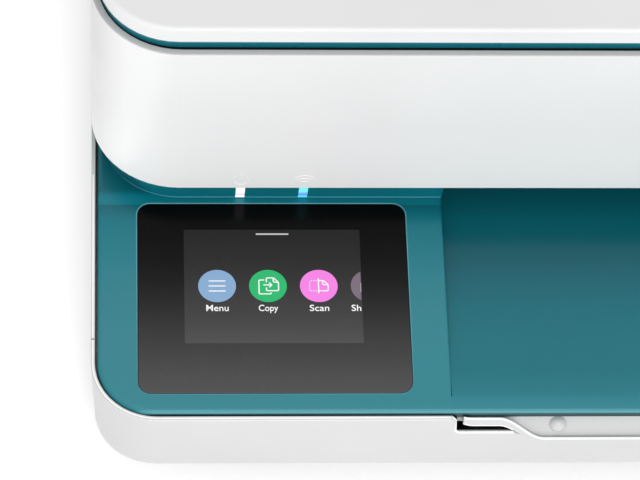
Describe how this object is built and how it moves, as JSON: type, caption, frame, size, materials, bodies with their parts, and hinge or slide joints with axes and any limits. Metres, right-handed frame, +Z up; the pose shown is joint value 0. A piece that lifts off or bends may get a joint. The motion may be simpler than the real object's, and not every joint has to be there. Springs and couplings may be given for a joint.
{
  "type": "inkjet printer",
  "caption": "Flat desktop inkjet printer and scanner with a touch panel beside a sunken output tray, a wide scanner housing, a hinged lid and a sliding paper tray.",
  "frame": {"origin": "centre of the bounding box's footprint, on the surface the feet stand on", "axes": "+X to the right hand side as the user faces the printer, +Y to the back, +Z up"},
  "size_m": [0.46, 0.386, 0.1297],
  "materials": {
    "shell_white": "fine satin",
    "housing_white": "soft gloss",
    "lid_white": "fine matte",
    "pan_charcoal": "matte",
    "foot_rubber": "matte",
    "deck_teal": "satin",
    "trim_teal": "satin",
    "panel_glass": "polished",
    "display_screen": "polished",
    "board_green": "satin",
    "socket_black": "matte",
    "socket_steel": "satin",
    "frame_steel": "galvanised",
    "screw_steel": "satin",
    "rod_steel": "ground",
    "platen_black": "matte",
    "guide_grey": "matte",
    "tray_grey": "matte",
    "extension_white": "satin",
    "roller_rubber": "matte",
    "gear_white": "satin",
    "motor_steel": "satin",
    "carriage_black": "satin",
    "cartridge_shell": "satin",
    "latch_blue": "satin",
    "belt_rubber": "matte",
    "tub_grey": "matte",
    "cap_rubber": "matte",
    "light_white": "frosted",
    "light_cyan": "frosted",
    "scan_glass": "polished",
    "bezel_grey": "fine matte",
    "scanpan_grey": "matte",
    "scanbar_black": "matte",
    "foam_white": "matte",
    "button_grey": "satin"
  },
  "bodies": {
    "base": {"base_shell": "shell_white", "base_pan": "pan_charcoal", "feet": "foot_rubber", "deck_frame": "deck_teal", "touch_glass": "panel_glass", "display_module": "display_screen", "panel_board": "board_green", "rear_panel": "pan_charcoal", "power_inlet": "socket_black", "usb_port": "socket_steel", "power_supply": "pan_charcoal", "main_board": "board_green", "engine_frame": "frame_steel", "frame_screws": "screw_steel", "carriage_rod": "rod_steel", "platen": "platen_black", "turn_guide": "guide_grey", "feed_motor": "motor_steel", "carriage_motor": "motor_steel", "carriage_belt": "belt_rubber", "service_station": "tub_grey", "cap_pads": "cap_rubber", "hinge_brackets": "guide_grey"},
    "paper_tray": {"tray_body": "tray_grey", "tray_front": "shell_white"},
    "left_width_guide": {"guide_left": "guide_grey"},
    "right_width_guide": {"guide_right": "guide_grey"},
    "sheet_length_guide": {"length_guide": "guide_grey"},
    "tray_extension": {"output_extension": "extension_white"},
    "rear_button": {"power_button": "button_grey"},
    "feed_shaft": {"feed_roller": "roller_rubber", "feed_gear": "gear_white"},
    "exit_shaft": {"exit_roller": "roller_rubber", "exit_gear": "gear_white"},
    "idler": {"idler_gear": "gear_white"},
    "pinion": {"motor_pinion": "gear_white"},
    "pick_lever": {"pick_arm": "guide_grey"},
    "pick_wheel": {"pick_roller": "roller_rubber"},
    "print_carriage": {"carriage": "carriage_black", "cartridge_black": "cartridge_shell", "cartridge_colour": "cartridge_shell"},
    "black_latch": {"latch_black": "latch_blue"},
    "colour_latch": {"latch_colour": "latch_blue"},
    "left_pulley": {"drive_pulley": "gear_white"},
    "right_pulley": {"idler_pulley": "gear_white"},
    "scanner_housing": {"housing_shell": "housing_white", "under_lip": "deck_teal", "light_bar_power": "light_white", "light_bar_wireless": "light_cyan", "scan_pan": "scanpan_grey", "scan_rod": "rod_steel", "scan_glass": "scan_glass", "scan_bezel": "bezel_grey", "rear_rail": "housing_white", "hinge_pins": "rod_steel"},
    "scan_head": {"scan_bar": "scanbar_black"},
    "lid": {"lid_shell": "lid_white", "lid_trim": "trim_teal", "lid_foam": "foam_white", "lid_pins": "rod_steel"}
  },
  "joints": [
    {"name": "housing_hinge", "type": "hinge", "parent": "base", "child": "scanner_housing", "pos_m": [0, 0.1845, 0.064], "axis": [-1, 0, 0], "range_deg": [0, 34]},
    {"name": "lid_hinge", "type": "hinge", "parent": "scanner_housing", "child": "lid", "pos_m": [0, 0.174, 0.12495], "axis": [-1, 0, 0], "range_deg": [0, 85]},
    {"name": "scan_slide", "type": "slide", "parent": "scanner_housing", "child": "scan_head", "axis": [1, 0, 0], "range_m": [0, 0.292]},
    {"name": "tray_slide", "type": "slide", "parent": "base", "child": "paper_tray", "axis": [0, -1, 0], "range_m": [0, 0.16]},
    {"name": "guide_left_slide", "type": "slide", "parent": "paper_tray", "child": "left_width_guide", "axis": [1, 0, 0], "range_m": [0, 0.04]},
    {"name": "guide_right_slide", "type": "slide", "parent": "paper_tray", "child": "right_width_guide", "axis": [-1, 0, 0], "range_m": [0, 0.04]},
    {"name": "length_guide_slide", "type": "slide", "parent": "paper_tray", "child": "sheet_length_guide", "axis": [0, 1, 0], "range_m": [0, 0.1]},
    {"name": "extension_slide", "type": "slide", "parent": "paper_tray", "child": "tray_extension", "axis": [0, -1, 0], "range_m": [0, 0.12]},
    {"name": "power_button_press", "type": "slide", "parent": "base", "child": "rear_button", "axis": [0, -1, 0], "range_m": [0, 0.0015], "stiffness_N_per_m": 300},
    {"name": "feed_spin", "type": "hinge", "parent": "base", "child": "feed_shaft", "pos_m": [0, 0.02, 0.052], "axis": [1, 0, 0], "continuous": true},
    {"name": "idler_spin", "type": "hinge", "parent": "base", "child": "idler", "pos_m": [-0.1825, -0.015, 0.052], "axis": [1, 0, 0], "continuous": true},
    {"name": "exit_spin", "type": "hinge", "parent": "base", "child": "exit_shaft", "pos_m": [0, -0.045, 0.052], "axis": [1, 0, 0], "continuous": true},
    {"name": "pinion_spin", "type": "hinge", "parent": "base", "child": "pinion", "pos_m": [-0.18, 0.04382, 0.03825], "axis": [1, 0, 0], "continuous": true},
    {"name": "pick_arm_swing", "type": "hinge", "parent": "base", "child": "pick_lever", "pos_m": [0, 0.062, 0.046], "axis": [1, 0, 0], "range_deg": [0, 10]},
    {"name": "pick_roller_spin", "type": "hinge", "parent": "pick_lever", "child": "pick_wheel", "pos_m": [0, 0.092, 0.031], "axis": [1, 0, 0], "continuous": true},
    {"name": "carriage_slide", "type": "slide", "parent": "base", "child": "print_carriage", "axis": [1, 0, 0], "range_m": [-0.27, 0]},
    {"name": "left_pulley_spin", "type": "hinge", "parent": "base", "child": "left_pulley", "pos_m": [-0.16, 0.0525, 0.074], "axis": [0, 1, 0], "range_deg": [-2600, 10]},
    {"name": "right_pulley_spin", "type": "hinge", "parent": "base", "child": "right_pulley", "pos_m": [0.182, 0.0525, 0.074], "axis": [0, 1, 0], "range_deg": [-2600, 10]},
    {"name": "black_latch_lift", "type": "hinge", "parent": "print_carriage", "child": "black_latch", "pos_m": [0.16375, -0.0405, 0.087], "axis": [1, 0, 0], "range_deg": [0, 5], "stiffness_Nm_per_rad": 0.05},
    {"name": "colour_latch_lift", "type": "hinge", "parent": "print_carriage", "child": "colour_latch", "pos_m": [0.12025, -0.0405, 0.087], "axis": [1, 0, 0], "range_deg": [0, 5], "stiffness_Nm_per_rad": 0.05}
  ],
  "couplings": [
    {"joint": "guide_right_slide", "follows": "guide_left_slide", "ratio": 1},
    {"joint": "idler_spin", "follows": "feed_spin", "ratio": -1.3333},
    {"joint": "exit_spin", "follows": "feed_spin", "ratio": 1.3333},
    {"joint": "pinion_spin", "follows": "feed_spin", "ratio": -2.6667},
    {"joint": "left_pulley_spin", "follows": "carriage_slide", "rad_per_m": 166.67},
    {"joint": "right_pulley_spin", "follows": "carriage_slide", "rad_per_m": 166.67}
  ]
}
